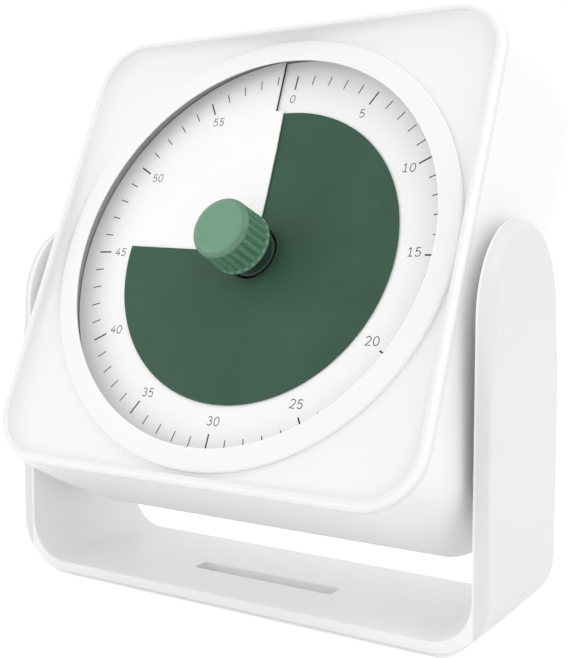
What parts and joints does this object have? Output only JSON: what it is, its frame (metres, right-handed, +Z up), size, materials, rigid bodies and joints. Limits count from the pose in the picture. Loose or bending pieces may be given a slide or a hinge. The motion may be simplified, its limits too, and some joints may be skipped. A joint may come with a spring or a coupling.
{
  "type": "countdown timer",
  "caption": "Visual countdown timer: a square dished head with a disc that shows the time left, tilting in a U-shaped stand.",
  "frame": {"origin": "on the table, at the middle of the stand's footprint", "axes": "+Z up, -Y to the front where the user stands, +X to the right as seen from the front; the head leans 24 degrees back"},
  "size_m": [0.213, 0.1437, 0.2286],
  "materials": {
    "stand_white": "satin white",
    "case_white": "satin white",
    "dial_white": "matte white with printed marks",
    "disc_green": "matte dark green",
    "knob_green": "satin light green",
    "chassis_grey": "matte dark grey",
    "movement_grey": "matte light grey",
    "pad_rubber": "matte dark grey",
    "screw_steel": "zinc plated",
    "bush_brass": "plain",
    "core_iron": "plain sheet",
    "coil_copper": "enamelled copper wire",
    "lead_red": "insulated wire",
    "board_green": "solder resist",
    "chip_black": "matte black",
    "cell_jacket": "printed jacket on a metal can",
    "magnet_grey": "plain"
  },
  "bodies": {
    "stand": {"stand": "stand_white", "base_pad": "pad_rubber", "pivot_screws": "screw_steel", "friction_washers": "pad_rubber", "spring_washers": "screw_steel"},
    "head": {"front_frame": "case_white", "bezel_ring": "case_white", "rear_case": "case_white", "pivot_bushes": "bush_brass", "case_screws": "screw_steel", "dial_chassis": "chassis_grey", "chassis_screws": "screw_steel", "spindle_bush": "bush_brass", "dial_plate": "dial_white", "movement_front": "movement_grey", "movement_back": "movement_grey", "movement_screws": "screw_steel", "wheel_arbors": "screw_steel", "stator": "core_iron", "drive_coil": "coil_copper", "coil_leads": "lead_red", "circuit_board": "board_green", "control_chip": "chip_black", "board_screws": "screw_steel", "buzzer": "chip_black", "switch_body": "chassis_grey", "contact_plate": "screw_steel", "contact_spring": "screw_steel", "battery_cell": "cell_jacket", "battery_leads": "lead_red"},
    "knob": {"turning_knob": "knob_green", "spindle": "screw_steel", "drive_collar": "disc_green", "spindle_clips": "screw_steel", "centre_wheel": "bush_brass", "clutch_spring": "screw_steel"},
    "disc": {"disc_hub": "disc_green", "colour_disc": "disc_green"},
    "third wheel": {"third_wheel": "bush_brass"},
    "fourth wheel": {"fourth_wheel": "bush_brass"},
    "rotor": {"rotor": "magnet_grey"},
    "battery door": {"battery_door": "case_white"},
    "sound switch": {"sound_switch": "chassis_grey"}
  },
  "joints": [
    {"name": "head_tilt", "type": "hinge", "parent": "stand", "child": "head", "pos_m": [0, 0, 0.115], "axis": [-1, 0, 0], "range_deg": [-24, 66]},
    {"name": "knob_turn", "type": "hinge", "parent": "head", "child": "knob", "pos_m": [0, -0.01258, 0.13592], "axis": [0, 0.9135, -0.4067], "range_deg": [-272.4, 87.6]},
    {"name": "disc_feed", "type": "slide", "parent": "knob", "child": "disc", "axis": [0, -0.9135, 0.4067], "range_m": [-0.00126, 0.00044]},
    {"name": "third_wheel_spin", "type": "hinge", "parent": "head", "child": "third wheel", "pos_m": [0, -0.00711, 0.11379], "axis": [0, 0.9135, -0.4067], "range_deg": [-460, 1370]},
    {"name": "fourth_wheel_spin", "type": "hinge", "parent": "head", "child": "fourth wheel", "pos_m": [0.01299, -0.0065, 0.10531], "axis": [0, 0.9135, -0.4067], "range_deg": [-5460, 1810]},
    {"name": "rotor_spin", "type": "hinge", "parent": "head", "child": "rotor", "pos_m": [0.02499, -0.00285, 0.10368], "axis": [0, 0.9135, -0.4067], "range_deg": [-5410, 16360]},
    {"name": "door_hinge", "type": "hinge", "parent": "head", "child": "battery door", "pos_m": [0, 0.01282, 0.04361], "axis": [-1, 0, 0], "range_deg": [0, 95]},
    {"name": "sound_slide", "type": "slide", "parent": "head", "child": "sound switch", "axis": [1, 0, 0], "range_m": [0, 0.004]}
  ],
  "couplings": [
    {"joint": "disc_feed", "follows": "knob_turn", "m_per_rad": 0.00025465},
    {"joint": "third_wheel_spin", "follows": "knob_turn", "ratio": -5},
    {"joint": "fourth_wheel_spin", "follows": "knob_turn", "ratio": 20},
    {"joint": "rotor_spin", "follows": "knob_turn", "ratio": -60}
  ]
}
